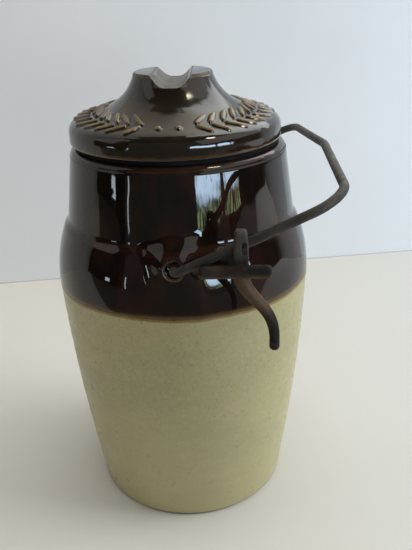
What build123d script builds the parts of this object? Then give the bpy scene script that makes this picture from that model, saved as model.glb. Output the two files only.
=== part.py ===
"""Stoneware butter crock with a clamped lid.

Five pieces: the thrown jar with its two ears, the flaring lid with a saddle notch across its
top, the flat rubber ring between them, the bent wire bail and the cast iron clamp lever that
hangs on the bail's near leg.

Millimetres, +Z up, origin at the middle of the flat base. The ears stand on the Y axis. The
bail is stored open, swung over towards +X, with the lever hanging plumb from its -Y leg.
"""
import os
from math import cos, radians, sin, tan
from build123d import *

# ---------------------------------------------------------------- driving dimensions
# Crock: outer form, from the foot up
base_radius = 44.6
foot_band = 2.2           # upright part of the foot
foot_edge_round = 2.0
belly_radius = 55.0
belly_height = 107.0
side_bulge = 1.7          # how far the side stands out beyond a straight taper
shoulder_rise = 25.0      # belly up to the ledge below the neck
shoulder_step_in = 5.2
ledge_rise = 2.2
ledge_width = 1.5
ledge_round = 1.5
neck_rise = 28.8
rim_radius = 44.4
rim_round = 2.4
mouth_round = 1.4

# Crock: clay thickness
floor_thickness = 8.0
body_wall = 6.8
neck_wall = 7.2
cavity_corner = 7.0

# Ears: domed bosses on the shoulder, each with a blind hole for the wire
ear_drop = 4.0            # hole's axis below the ledge
ear_reach = 56.0          # boss face to the jar's axis
ear_length = 11.0
ear_front_radius = 8.4
ear_root_radius = 10.4
ear_front_round = 4.3
ear_hole_radius = 3.2
ear_hole_depth = 6.2
ear_lip_round = 0.5

# Rubber ring
ring_thickness = 2.0
ring_width = 4.6
ring_edge_round = 0.5

# Lid
lid_setback = 1.0         # lid's edge inside the rim's edge
lid_band = 3.6            # upright part of the edge
lid_edge_round = 0.9
lid_slope_rise = 9.2      # outer end of the slope above the seat
lid_slope_setback = 4.6   # outer end of the slope inside the edge
lid_slope_fall = 0.26     # fall of the slope for each unit outwards
lid_height = 26.0
lid_top_radius = 15.8
lid_top_round = 0.9
lid_throat_lean = 0.32    # widening of the throat for each unit down
lid_flare_drop = 11.0     # how far down the throat stays steep
lid_flare_run = 12.0      # how far in the slope stays shallow
lid_shoulder_ease = 3.3   # softness of the turn from slope to edge
lid_shift = -0.8          # the lid lies a touch to one side within its play
flange_play = 1.7
flange_wall = 5.0
flange_depth = 6.5
flange_round = 1.2
lid_hollow_rise = 11.0
notch_depth = 4.4
notch_floor_half = 3.6
notch_top_half = 7.4
notch_floor_round = 2.2
notch_lip_round = 0.8

# Bail
wire_radius = 1.75
wire_end_round = 0.5
foot_gap = 0.55           # wire clear of the boss face
foot_insert = 4.2         # wire inside the ear's hole
foot_bend = 3.3
corner_spread = 6.7       # each leg leans outwards by this much at its corner
near_corner_drop = 2.2    # corners below the peak
far_corner_drop = 8.4
peak_headroom = 4.2       # upright wire clear of the lid's top
peak_offset = 5.3         # the hand-bent peak lies this far past the middle
corner_bend = 13.0
peak_bend = 20.0
bail_rest_angle = 26.4    # legs above the horizontal

# Clamp lever, measured from the point of the near leg that it hangs on
lever_station = 27.1      # along the leg, up from the ear
slot_clearance = 0.55
head_width = 5.2          # at the eye
head_top_width = 3.7
head_foot_width = 5.4     # where it meets the bar
head_cheek = 1.6          # metal before and behind the wire
head_crown = 1.7          # metal above the slot
head_crown_round = 0.9
head_corner = 0.9
window_width = 1.7
window_height = 4.4
window_shift = 1.0
bar_radius = 2.4
bar_reach_left = 15.1
bar_reach_right = 10.7
bar_drop = 9.0
bar_set_out = 2.6         # the bar stands outside the plane of the head
bar_end_round = 1.5
tail_root_half_width = 3.2
tail_root_half_depth = 2.2
tail_tip_radius = 1.95
tail_run = 11.9
tail_drop = 29.6
tail_lead_down = 11.5     # the tail leaves the bar straight down, sweeps aside
tail_lead_up = 18.6       # and ends hanging straight, a little toed in
tail_toe = 0.9
tail_flare_power = 2.2    # how quickly the flare under the bar dies away
tail_sections = 6

# ---------------------------------------------------------------- heights and radii that follow
shoulder_height = belly_height + shoulder_rise
shoulder_radius = belly_radius - shoulder_step_in
neck_foot_height = shoulder_height + ledge_rise
neck_foot_radius = shoulder_radius - ledge_width
rim_height = neck_foot_height + neck_rise
mouth_radius = rim_radius - neck_wall
ear_height = shoulder_height - ear_drop
seat_height = rim_height + ring_thickness
lid_radius = rim_radius - lid_setback
lid_top = seat_height + lid_height
flange_radius = mouth_radius - flange_play
leg_foot = ear_reach + foot_gap + wire_radius
leg_corner = leg_foot + corner_spread
peak_rise = lid_top - ear_height + peak_headroom + wire_radius
near_corner_rise = peak_rise - near_corner_drop
far_corner_rise = peak_rise - far_corner_drop


def outline(*edges):
    """Flat face inside a closed run of edges."""
    return make_face(Curve() + list(edges))


def round_corner(face, corner, radius):
    """The face with its corner nearest to the given point rounded."""
    return fillet(face.vertices().sort_by_distance(corner)[0], radius)


def turned(face):
    """Solid of revolution about the upright axis; the face is drawn as (radius, height)."""
    return revolve(Plane.XZ * face, Axis.Z)


# ---------------------------------------------------------------- crock
def crock_outside():
    """Outer form: barrel side, round shoulder, a small ledge and the tapering neck."""
    side_middle = ((base_radius + belly_radius) / 2 + side_bulge, (foot_band + belly_height) / 2)
    belly = (belly_radius, belly_height)
    shoulder = (shoulder_radius, shoulder_height)
    neck_foot = (neck_foot_radius, neck_foot_height)
    rim = (rim_radius, rim_height)
    face = outline(
        Line((0, 0), (base_radius, 0)),
        Line((base_radius, 0), (base_radius, foot_band)),
        ThreePointArc((base_radius, foot_band), side_middle, belly),
        TangentArc(belly, shoulder, tangent=(0, 1)),
        Polyline(shoulder, neck_foot, rim, (0, rim_height), (0, 0)),
    )
    face = round_corner(face, (base_radius, 0), foot_edge_round)
    face = round_corner(face, shoulder, ledge_round)
    face = round_corner(face, neck_foot, ledge_round)
    face = round_corner(face, rim, rim_round)
    return turned(face)


def crock_cavity():
    """The hollow: floor, side and shoulder follow the outside at the clay's thickness; rounded mouth."""
    floor_radius = base_radius - body_wall
    inner_belly = (belly_radius - body_wall, belly_height)
    inner_neck_foot = (neck_foot_radius - neck_wall, neck_foot_height)
    mouth = (mouth_radius, rim_height)
    side_middle = (
        (floor_radius + inner_belly[0]) / 2 + side_bulge,
        (floor_thickness + belly_height) / 2,
    )
    above_rim = rim_height + mouth_round
    rim_crest = rim_radius - rim_round
    face = outline(
        Line((0, floor_thickness), (floor_radius, floor_thickness)),
        ThreePointArc((floor_radius, floor_thickness), side_middle, inner_belly),
        TangentArc(inner_belly, inner_neck_foot, tangent=(0, 1)),
        Line(inner_neck_foot, mouth),
        Line(mouth, (rim_crest, rim_height)),
        Polyline((rim_crest, rim_height), (rim_crest, above_rim), (0, above_rim), (0, floor_thickness)),
    )
    face = round_corner(face, (floor_radius, floor_thickness), cavity_corner)
    face = round_corner(face, mouth, mouth_round)
    return turned(face)


def ear_plane(side):
    """Frame of one ear: x runs out of the jar along the hole, z lies across it."""
    return Plane(origin=(0, 0, ear_height), x_dir=(0, side, 0), z_dir=(-side, 0, 0))


def ear_boss():
    """Rounded clay pad that widens towards its root, turned about the hole's axis (x)."""
    root = ear_reach - ear_length
    front = (ear_reach, ear_front_radius)
    face = outline(Polyline((root, 0), (ear_reach, 0), front, (root, ear_root_radius), (root, 0)))
    face = round_corner(face, front, ear_front_round)
    return revolve(face, Axis.X)


def ear_hole():
    """Blind hole with a rounded lip, turned about its own axis (x)."""
    bottom = ear_reach - ear_hole_depth
    lip_radius = ear_hole_radius + ear_lip_round
    face = outline(
        Line((bottom, 0), (ear_reach, 0)),
        Line((ear_reach, 0), (ear_reach, lip_radius)),
        RadiusArc((ear_reach, lip_radius), (ear_reach - ear_lip_round, ear_hole_radius), -ear_lip_round),
        Line((ear_reach - ear_lip_round, ear_hole_radius), (bottom, ear_hole_radius)),
        Line((bottom, ear_hole_radius), (bottom, 0)),
    )
    return revolve(face, Axis.X)


def make_crock():
    cavity = crock_cavity()
    body = crock_outside() - cavity
    for side in (-1, 1):
        body += ear_plane(side) * ear_boss() - cavity
    for side in (-1, 1):
        body -= ear_plane(side) * ear_hole()
    return body


# ---------------------------------------------------------------- rubber ring
def make_seal_ring():
    """Flat ring round the lid's flange, between the rim and the lid's seat."""
    inner = mouth_radius
    section = Pos(inner + ring_width / 2, rim_height + ring_thickness / 2) * RectangleRounded(
        ring_width, ring_thickness, ring_edge_round
    )
    return turned(section)


# ---------------------------------------------------------------- lid
def lid_body():
    """Turned form: flat top, steep throat flaring to a shallow slope, upright edge, flange below."""
    top = (lid_top_radius, lid_top)
    slope_end = (lid_radius - lid_slope_setback, seat_height + lid_slope_rise)
    edge_top = (lid_radius, seat_height + lid_band)
    edge_foot = (lid_radius, seat_height)
    flange_foot = seat_height - flange_depth
    hollow_radius = flange_radius - flange_wall
    flare = Bezier(
        top,
        (top[0] + lid_throat_lean * lid_flare_drop, top[1] - lid_flare_drop),
        (slope_end[0] - lid_flare_run, slope_end[1] + lid_slope_fall * lid_flare_run),
        slope_end,
    )
    turn_down = Bezier(
        slope_end,
        (slope_end[0] + lid_shoulder_ease, slope_end[1] - lid_slope_fall * lid_shoulder_ease),
        (edge_top[0], edge_top[1] + lid_shoulder_ease),
        edge_top,
    )
    hollow_top = (0, seat_height + lid_hollow_rise)
    hollow = TangentArc(hollow_top, (hollow_radius, seat_height), tangent=(1, 0))
    face = outline(
        Line((0, lid_top), top),
        flare,
        turn_down,
        Polyline(edge_top, edge_foot, (flange_radius, seat_height), (flange_radius, flange_foot)),
        Polyline((flange_radius, flange_foot), (hollow_radius, flange_foot), (hollow_radius, seat_height)),
        hollow,
        Line(hollow_top, (0, lid_top)),
    )
    face = round_corner(face, edge_foot, lid_edge_round)
    face = round_corner(face, (flange_radius, flange_foot), flange_round)
    face = round_corner(face, (hollow_radius, flange_foot), flange_round)
    face = round_corner(face, top, lid_top_round)
    return turned(face)


def saddle_notch():
    """Trough across the lid's top along Y, open above, that takes the wire's peak."""
    floor = lid_top - notch_depth
    above = lid_top + notch_depth
    lean = (notch_top_half - notch_floor_half) / notch_depth
    open_half = notch_floor_half + lean * (above - floor)
    section = make_face(Polyline(
        (-notch_floor_half, floor),
        (notch_floor_half, floor),
        (open_half, above),
        (-open_half, above),
        close=True,
    ))
    section = round_corner(section, (-notch_floor_half, floor), notch_floor_round)
    section = round_corner(section, (notch_floor_half, floor), notch_floor_round)
    return extrude(Plane.XZ * section, amount=lid_radius, both=True)


def make_lid():
    lid = lid_body() - saddle_notch()
    lips = lid.edges().filter_by(Axis.Y).sort_by(lambda edge: abs(edge.center().Z - lid_top))[:2]
    lid = fillet(lips, notch_lip_round)
    return Pos(lid_shift, 0, 0) * lid


# ---------------------------------------------------------------- bail
def bail_plane():
    """Plane of the arch at rest: x towards the near ear (-Y), y out along the legs."""
    tilt = radians(bail_rest_angle)
    return Plane(origin=(0, 0, ear_height), x_dir=(0, -1, 0), z_dir=(-sin(tilt), 0, cos(tilt)))


def make_bail():
    """One round wire: feet turned into the ears, spreading legs, wide corners, shallow peak."""
    end = ear_reach - foot_insert
    route = [
        (end, 0),
        (leg_foot, 0),
        (leg_corner, near_corner_rise),
        (-peak_offset, peak_rise),
        (-leg_corner, far_corner_rise),
        (-leg_foot, 0),
        (-end, 0),
    ]
    bends = [foot_bend, corner_bend, peak_bend, corner_bend, foot_bend]
    path = FilletPolyline(*route, radius=bends)
    section = Plane(origin=(end, 0, 0), z_dir=(1, 0, 0)) * Circle(wire_radius)
    wire = sweep(section, path=path)
    ends = wire.edges().filter_by(GeomType.CIRCLE).sort_by(
        lambda edge: abs(abs(edge.center().X) - end) + abs(edge.center().Y)
    )[:2]
    wire = fillet(ends, wire_end_round)
    return bail_plane() * wire


# ---------------------------------------------------------------- clamp lever
def leg_splay():
    """Lean of the near leg away from the jar, as run over rise."""
    return corner_spread / near_corner_rise


def hang_point():
    """Point of the near leg's centre line that the lever hangs on."""
    return bail_plane().from_local_coords((leg_foot + leg_splay() * lever_station, lever_station))


def slot_size():
    """Width and height of the slot that lets the slanting wire through the upright head."""
    rise = head_width * tan(radians(bail_rest_angle)) + 2 * wire_radius / cos(radians(bail_rest_angle))
    across = head_width * leg_splay() + 2 * wire_radius
    return across + 2 * slot_clearance, rise + 2 * slot_clearance


def head_section(height, set_out, width, depth):
    """Level section of the lever's head, measured from the point that it hangs on."""
    return Pos(0, -set_out, height) * RectangleRounded(width, depth, head_corner)


def lever_head():
    """Upright tongue, narrowest at its crown and broadest at the bar, thickest round the eye."""
    slot_width, slot_height = slot_size()
    depth = slot_width + 2 * head_cheek
    crown = slot_height / 2 + head_crown
    blank = loft([
        head_section(-bar_drop, bar_set_out, head_foot_width, 2 * bar_radius - head_corner),
        head_section(-slot_height / 2, 0, (head_width + head_foot_width) / 2, slot_width + head_cheek),
        head_section(0, 0, head_width, depth),
        head_section(slot_height / 2, 0, (head_width + head_top_width) / 2, slot_width + head_cheek),
        head_section(crown, 0, head_top_width, slot_width - head_cheek),
    ])
    blank = fillet(blank.faces().sort_by(Axis.Z)[-1].edges(), head_crown_round)
    slot_face = Plane.YZ * SlotOverall(slot_height, slot_width, rotation=90)
    slot = extrude(slot_face, amount=head_width, both=True)
    window = Plane.XZ * Pos(window_shift, 0) * SlotOverall(window_height, window_width, rotation=90)
    return blank - slot - extrude(window, amount=depth)


def lever_bar():
    """Round cross-bar, the cam that is turned in behind the leg."""
    length = bar_reach_left + bar_reach_right
    middle = (bar_reach_right - bar_reach_left) / 2
    bar = Cylinder(bar_radius, length, rotation=(0, 90, 0))
    bar = fillet(bar.edges().filter_by(GeomType.CIRCLE), bar_end_round)
    return Pos(middle, -bar_set_out, -bar_drop) * bar


def lever_tail():
    """Finger that flares out of the bar, sweeps aside, tapers and ends hanging straight."""
    start = Vector(0, -bar_set_out, -bar_drop)
    tip = start + Vector(tail_run, 0, -tail_drop)
    path = Bezier(
        start,
        start - Vector(0, 0, tail_lead_down),
        tip + Vector(tail_toe, 0, tail_lead_up),
        tip,
    )
    sections = []
    for step in range(tail_sections):
        along = step / (tail_sections - 1)
        flare = (1 - along) ** tail_flare_power
        half_width = tail_tip_radius + (tail_root_half_width - tail_tip_radius) * flare
        half_depth = tail_tip_radius + (tail_root_half_depth - tail_tip_radius) * flare
        heading = path % along
        across = Plane(origin=path @ along, x_dir=(-heading.Z, 0, heading.X), z_dir=heading)
        sections.append(across * Ellipse(half_width, half_depth))
    return loft(sections) + Pos(*tip) * Sphere(tail_tip_radius)


def make_clamp_lever():
    lever = lever_head() + lever_bar() + lever_tail()
    return Pos(*hang_point()) * lever


# ---------------------------------------------------------------- output
os.makedirs("parts", exist_ok=True)
pieces = {
    "crock": make_crock(),
    "seal_ring": make_seal_ring(),
    "lid": make_lid(),
    "bail": make_bail(),
    "clamp_lever": make_clamp_lever(),
}
for name, piece in pieces.items():
    export_step(piece, f"parts/{name}.step")
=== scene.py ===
import bpy
import numpy as np
from mathutils import Matrix, Vector


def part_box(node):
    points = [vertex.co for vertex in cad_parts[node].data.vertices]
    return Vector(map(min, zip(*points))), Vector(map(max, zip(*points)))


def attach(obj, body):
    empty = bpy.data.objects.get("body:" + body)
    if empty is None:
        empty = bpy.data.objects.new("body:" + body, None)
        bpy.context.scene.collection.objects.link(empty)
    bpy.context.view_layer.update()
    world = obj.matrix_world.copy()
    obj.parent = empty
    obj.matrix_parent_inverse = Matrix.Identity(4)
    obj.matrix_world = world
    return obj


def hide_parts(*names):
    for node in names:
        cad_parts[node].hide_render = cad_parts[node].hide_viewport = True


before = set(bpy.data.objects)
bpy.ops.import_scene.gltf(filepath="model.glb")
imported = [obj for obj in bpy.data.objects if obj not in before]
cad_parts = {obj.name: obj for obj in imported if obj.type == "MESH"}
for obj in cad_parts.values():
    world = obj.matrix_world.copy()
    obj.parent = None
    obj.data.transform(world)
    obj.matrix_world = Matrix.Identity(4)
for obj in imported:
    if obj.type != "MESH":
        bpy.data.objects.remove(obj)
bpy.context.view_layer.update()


# ------------------------------------------------------------------------------------------------
# Jar. Thrown stoneware: a barrel-sided body with a rounded shoulder, a small ledge and a tapering
# neck. Two clay bosses stand on the shoulder, each with a blind hole for the wire. The neck was
# dipped upside down in dark slip glaze, down to the belly; the rest has a pale semi-matt glaze.
# ------------------------------------------------------------------------------------------------
jar_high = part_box("crock")[1]
rim_height = jar_high[2]
belly_radius = jar_high[0]
ear_reach = jar_high[1]

foot_radius = 0.0446
foot_round = 0.0020
belly_height = 0.107
side_bulge = 0.0017
shoulder_top = 0.132
shoulder_top_radius = 0.0498
neck_foot = 0.1342
neck_foot_radius = 0.0483
rim_radius = 0.0444
rim_round = 0.0024
mouth_radius = 0.0372
mouth_round = 0.0014
body_wall = 0.0068
floor_height = 0.0080
floor_round = 0.0070

ear_height = 0.1280
ear_flat = 0.0044              # half-width of the flat round the hole
ear_fall = (0.16, 0.98, 0.98)  # how steeply the boss falls away below, beside and above the hole
ear_blend = 0.0022             # width over which it runs into the shoulder
ear_fade = (0.0132, 0.0149)    # how far from the hole the boss gives way to the plain shoulder
ear_lean = 0.13                # the boss's face leans back by this much for each unit up
ear_ease = 0.0012              # length over which the boss starts to fall away
ear_bead = 0.0002              # how far the hole's lip stands proud of the boss
ear_hole_radius = 0.0032
ear_hole_depth = 0.0062
ear_lip = 0.0041
ear_window = 0.0150            # half-side of the square of finer mesh round an ear
ear_circles = 0.0105           # radius out to which the mesh's rings are true circles
ear_rings = 28

glaze_line = 0.1080
marks_fade = (0.098, 0.108)    # heights between which the throwing marks die out


def smooth_step(low, high, value):
    """0 below low, 1 above high, with a cubic between: 3t^2 - 2t^3."""
    t = np.clip((value - low) / (high - low), 0, 1)
    return t * t * (3 - 2 * t)


def smooth_max(a, b, width):
    """The greater of a and b, rounded off by a parabola where they lie within the width."""
    h = np.clip(0.5 + 0.5 * (a - b) / width, 0, 1)
    return b + (a - b) * h + width * h * (1 - h)


def smooth_min(a, b, width):
    """The lesser of a and b, rounded off in the same way."""
    return -smooth_max(-a, -b, width)


def arc_through(low, middle, high):
    """Circle through three (radius, height) points, as its centre and radius."""
    (ax, ay), (bx, by), (cx, cy) = low, middle, high
    left = np.array([[bx - ax, by - ay], [cx - bx, cy - by]])
    right = np.array([bx * bx - ax * ax + by * by - ay * ay, cx * cx - bx * bx + cy * cy - by * by]) / 2
    centre = np.linalg.solve(left, right)
    return centre, np.hypot(ax - centre[0], ay - centre[1])


def grid_mesh(name, points, closed_rows, closed_columns):
    """Object from a grid of points (rows, columns, 3); quads join neighbours, and closed ways wrap round."""
    rows, columns = points.shape[:2]
    number = np.arange(rows * columns).reshape(rows, columns)
    down = np.roll(number, -1, axis=0) if closed_rows else number[1:]
    here = number if closed_rows else number[:-1]
    if closed_columns:
        quads = np.stack([here, np.roll(here, -1, 1), np.roll(down, -1, 1), down], -1)
    else:
        quads = np.stack([here[:, :-1], here[:, 1:], down[:, 1:], down[:, :-1]], -1)
    mesh = bpy.data.meshes.new(name)
    mesh.from_pydata(points.reshape(-1, 3).tolist(), [], quads.reshape(-1, 4).tolist())
    mesh.polygons.foreach_set("use_smooth", np.ones(len(mesh.polygons), dtype=bool))
    mesh.validate()
    mesh.update()
    made = bpy.data.objects.new(name, mesh)
    bpy.context.scene.collection.objects.link(made)
    return made


def outer_radius(height):
    """Jar's outside: an arc up the side, a tangent arc over the shoulder, an eased step to the neck."""
    middle = ((foot_radius + belly_radius) / 2 + side_bulge, (foot_round + belly_height) / 2)
    centre, reach = arc_through((foot_radius, foot_round), middle, (belly_radius, belly_height))
    side = centre[0] + np.sqrt(np.maximum(reach**2 - (height - centre[1]) ** 2, 0))
    rise = shoulder_top - belly_height
    step = belly_radius - shoulder_top_radius
    bow = (rise**2 + step**2) / (2 * step)
    shoulder = belly_radius - bow + np.sqrt(np.maximum(bow**2 - (height - belly_height) ** 2, 0))
    neck_share = (height - neck_foot) / (rim_height - neck_foot)
    neck = neck_foot_radius + (rim_radius - neck_foot_radius) * neck_share
    upper = shoulder + (neck - shoulder) * smooth_step(shoulder_top - 0.0012, neck_foot + 0.0014, height)
    return np.where(height < belly_height, side, upper)


def quarter(centre, radius, start, stop, count):
    """Arc of (radius, height) points round a centre, angles in degrees."""
    angle = np.radians(np.linspace(start, stop, count))
    return np.stack([centre[0] + radius * np.cos(angle), centre[1] + radius * np.sin(angle)], -1)


def straight(start, stop, count):
    """Evenly spaced (radius, height) points, the last left to the next stretch."""
    return np.linspace(start, stop, count, endpoint=False)


def jar_profile():
    """Section from the middle of the base, up the outside, over the rim and down to the floor's middle."""
    base = straight((0.0003, 0.0), (foot_radius - foot_round, 0.0), 8)
    foot = quarter((foot_radius - foot_round, foot_round), foot_round, -90, 0, 8)[:-1]
    side_height = np.linspace(foot_round, ear_height - ear_window, 90, endpoint=False)
    band_height = np.linspace(ear_height - ear_window, ear_height + ear_window, 2 * ear_rings + 1)
    neck_height = np.linspace(ear_height + ear_window, rim_height - rim_round, 26)[1:]
    outside = np.concatenate([side_height, band_height, neck_height])
    wall = np.stack([outer_radius(outside), outside], -1)
    rim = quarter((rim_radius - rim_round, rim_height - rim_round), rim_round, 5, 90, 10)
    flat = straight((rim_radius - rim_round - 0.0002, rim_height),
                    (mouth_radius + mouth_round, rim_height), 4)
    mouth = quarter((mouth_radius + mouth_round, rim_height - mouth_round), mouth_round, 90, 180, 7)
    inner_height = np.linspace(rim_height - mouth_round - 0.001, floor_height + floor_round, 50)
    inner = outer_radius(inner_height) - body_wall
    inner -= 0.0004 * smooth_step(belly_height, shoulder_top, inner_height)
    inside = np.stack([inner, inner_height], -1)
    corner = quarter((inner[-1] - floor_round, floor_height + floor_round), floor_round, 0, -90, 9)[1:]
    floor = np.linspace((inner[-1] - floor_round - 0.001, floor_height), (0.0003, floor_height), 9)
    first = len(base) + len(foot) + len(side_height)
    return np.concatenate([base, foot, wall, rim, flat, mouth, inside, corner, floor]), first


def ear_ring_radii():
    """Ring radii round an ear's hole: close together at the hole's wall and lip, even further out."""
    hole = ear_hole_radius
    near = [0, 0.4 * hole, 0.75 * hole, 0.93 * hole, 0.985 * hole, hole, hole, hole, 1.015 * hole]
    lip = [1.07 * hole, 1.16 * hole, ear_lip, 1.12 * ear_lip]
    even = np.linspace(1.12 * ear_lip, ear_window, ear_rings + 2 - len(near) - len(lip))[1:]
    return np.concatenate([near, lip, even])


def ear_ring_reach():
    """Distance of each hole ring from the jar's axis: blind bottom, straight wall, rounded lip, low bead."""
    bottom = ear_reach - ear_hole_depth
    depth = [0, 0, 0, 0.0001, 0.0004, 0.0012, 0.0030, 0.0050, 0.0055]
    return np.concatenate([bottom + np.array(depth), ear_reach - np.array([0.0003, 0.00008, 0.0, ear_bead])])


def jar_surface():
    """Section turned about Z. In a square round each ear the grid's squares are eased into circles. The
    boss is a blunt cone that leans back, reach - fall p^2 / (p + ease) at p past its flat, joined to
    the skin by a smooth maximum, and the inner rings sink into the hole."""
    profile, first = jar_profile()
    band = 2 * ear_rings + 1
    half_angle = ear_window / shoulder_top_radius
    ear_angles = np.linspace(-half_angle, half_angle, band)
    gap_angles = np.linspace(half_angle, np.pi - half_angle, 110)[1:-1]
    angle = np.concatenate([ear_angles, gap_angles, ear_angles + np.pi, gap_angles + np.pi])
    height = np.repeat(profile[:, 1:2], len(angle), 1)
    radius = np.repeat(profile[:, 0:1], len(angle), 1)
    turn = np.repeat(angle[None, :], len(profile), 0)

    across, up = np.meshgrid(np.arange(band) - ear_rings, np.arange(band) - ear_rings)
    ring = np.maximum(abs(across), abs(up))
    ring_radius = ear_ring_radii()[ring]
    roundness = 1 - smooth_step(ear_circles, ear_window, ring_radius)
    spoke = np.maximum(np.hypot(across, up), 1e-9)
    scale = ring_radius * ((1 - roundness) / np.maximum(ring, 1e-9) + roundness / spoke)
    local_x, local_z = across * scale, up * scale
    hole = np.zeros(ear_rings + 1)
    reach = ear_ring_reach()
    hole[: len(reach)] = reach

    points = np.stack([radius * np.sin(turn), -radius * np.cos(turn), height], -1)
    for side, column in ((-1, 0), (1, band + len(gap_angles))):
        z = ear_height + local_z
        base = outer_radius(z)
        bearing = local_x / shoulder_top_radius
        x = base * np.sin(bearing)
        skin = base * np.cos(bearing)
        distance = np.hypot(x, local_z)
        rise = local_z / np.maximum(distance, 1e-9)
        fall = ear_fall[0] + (ear_fall[1] - ear_fall[0]) * smooth_step(-1, 0, rise)
        fall += (ear_fall[2] - ear_fall[1]) * smooth_step(0, 1, rise)
        set_back = ear_lean * np.maximum(local_z + ear_lip, 0)
        past = np.maximum(distance - ear_flat, 0)
        boss = ear_reach - ear_bead - set_back - fall * past**2 / (past + ear_ease)
        edge = np.maximum(abs(x), abs(local_z))
        width = ear_blend * (0.25 + 0.75 * smooth_step(-1, 0, rise))
        out = skin + (smooth_max(boss, skin, width) - skin) * (1 - smooth_step(*ear_fade, edge))
        lip_share = smooth_step(ear_reach - 0.003, ear_reach - 0.0005, hole[ring])
        out = np.where(ring < len(reach), hole[ring] - set_back * lip_share, out)
        block = np.stack([-side * x, side * out, z], -1)
        points[first:first + band, column:column + band] = block
    return points


def throwing_marks(points):
    """Faint spiral ridges left by the potter's fingers: two sines in height that wind with the angle,
    and a slow wobble round the wall, all taken off the outside."""
    angle = np.arctan2(points[..., 0], -points[..., 1])
    radius = np.hypot(points[..., 0], points[..., 1])
    wave = np.sin(points[..., 2] * 900 + angle) + 0.6 * np.sin(points[..., 2] * 430 - 2 * angle + 1.3)
    wobble = 0.5 * np.sin(2 * angle + 0.7) + 0.4 * np.sin(3 * angle + points[..., 2] * 40)
    inset = 0.00006 * (1.6 - wave) + 0.00009 * (0.9 - wobble)
    inset *= smooth_step(0.001, 0.01, points[..., 2]) * (1 - smooth_step(*marks_fade, points[..., 2]))
    inset *= radius > 0.8 * outer_radius(points[..., 2])
    points[..., :2] *= (1 - inset / np.maximum(radius, 0.001))[..., None]
    return points


class Shader:
    """A new node material: nodes are added by type, with their inputs set by name."""

    def __init__(self, name):
        self.material = bpy.data.materials.new(name)
        self.material.use_nodes = True
        self.tree = self.material.node_tree
        self.surface = self.tree.nodes["Principled BSDF"]
        self.place = self.add("ShaderNodeTexCoord").outputs["Object"]

    def add(self, kind, settings=None, **inputs):
        """New node with its settings and inputs; an underscore stands for a space in an input's name."""
        node = self.tree.nodes.new(kind)
        for key, value in (settings or {}).items():
            setattr(node, key, value)
        for key, value in inputs.items():
            self.put(node.inputs[key.replace("_", " ")], value)
        return node

    def put(self, socket, value):
        """Links another node's output to the socket, or sets a plain value on it."""
        if isinstance(value, bpy.types.NodeSocket):
            self.tree.links.new(value, socket)
        else:
            socket.default_value = value

    def noise(self, scale, detail=3.0, rough=0.5, stretch=None, distortion=0.0):
        """Fractal noise in object space, 0 to 1; scale is in waves per metre."""
        place = self.place
        if stretch:
            place = self.add("ShaderNodeMapping", Vector=place, Scale=stretch).outputs[0]
        node = self.add("ShaderNodeTexNoise", Vector=place, Scale=scale, Detail=detail,
                        Roughness=rough, Distortion=distortion)
        return node.outputs["Fac"]

    def ramp(self, value, low, high, start=0.0, stop=1.0):
        """Value mapped from low..high to start..stop, clamped, with an eased middle."""
        node = self.add("ShaderNodeMapRange", {"interpolation_type": "SMOOTHSTEP"}, Value=value)
        for socket, number in zip(node.inputs[1:5], (low, high, start, stop)):
            self.put(socket, number)
        return node.outputs[0]

    def math(self, operation, a, b=0.0, clamp=False):
        """One step of arithmetic on one or two values."""
        node = self.add("ShaderNodeMath", {"operation": operation, "use_clamp": clamp})
        self.put(node.inputs[0], a)
        self.put(node.inputs[1], b)
        return node.outputs[0]

    def blend(self, share, a, b):
        """Colour a turned into b by the share."""
        node = self.add("ShaderNodeMix", {"data_type": "RGBA"})
        self.put(node.inputs[0], share)
        self.put(node.inputs[6], a if isinstance(a, bpy.types.NodeSocket) else (*a, 1))
        self.put(node.inputs[7], b if isinstance(b, bpy.types.NodeSocket) else (*b, 1))
        return node.outputs[2]

    def bump(self, height, distance):
        """Normal tilted by a height in metres, times the distance."""
        return self.add("ShaderNodeBump", Height=height, Distance=distance, Strength=1.0).outputs[0]

    def axis(self, name):
        """Object coordinate X, Y or Z, all from one shared node."""
        if not hasattr(self, "split"):
            self.split = self.add("ShaderNodeSeparateXYZ", Vector=self.place)
        return self.split.outputs[name]

    def finish(self, **inputs):
        """Sets the surface's inputs and gives back the material."""
        for key, value in inputs.items():
            self.put(self.surface.inputs[key.replace("_", " ")], value)
        return self.material


slip_brown = (0.0062, 0.0043, 0.0033)
slip_red = (0.032, 0.0105, 0.0060)
slip_ochre = (0.066, 0.033, 0.005)
slip_fringe = (0.21, 0.124, 0.026)
cream = (0.395, 0.358, 0.182)
cream_green = (0.345, 0.318, 0.162)
cream_warm = (0.415, 0.360, 0.178)
cream_pale = (0.47, 0.44, 0.29)
# paler cream towards the base: painted bounce light from the pale table
cream_painted_bounce = (0.47, 0.42, 0.215)
speck_brown = (0.14, 0.105, 0.052)
pit_black = (0.03, 0.02, 0.012)
rim_red = (0.042, 0.019, 0.011)
lip_tan = (0.115, 0.075, 0.038)
hole_brown = (0.02, 0.014, 0.009)
bare_clay = (0.30, 0.235, 0.15)


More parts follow.
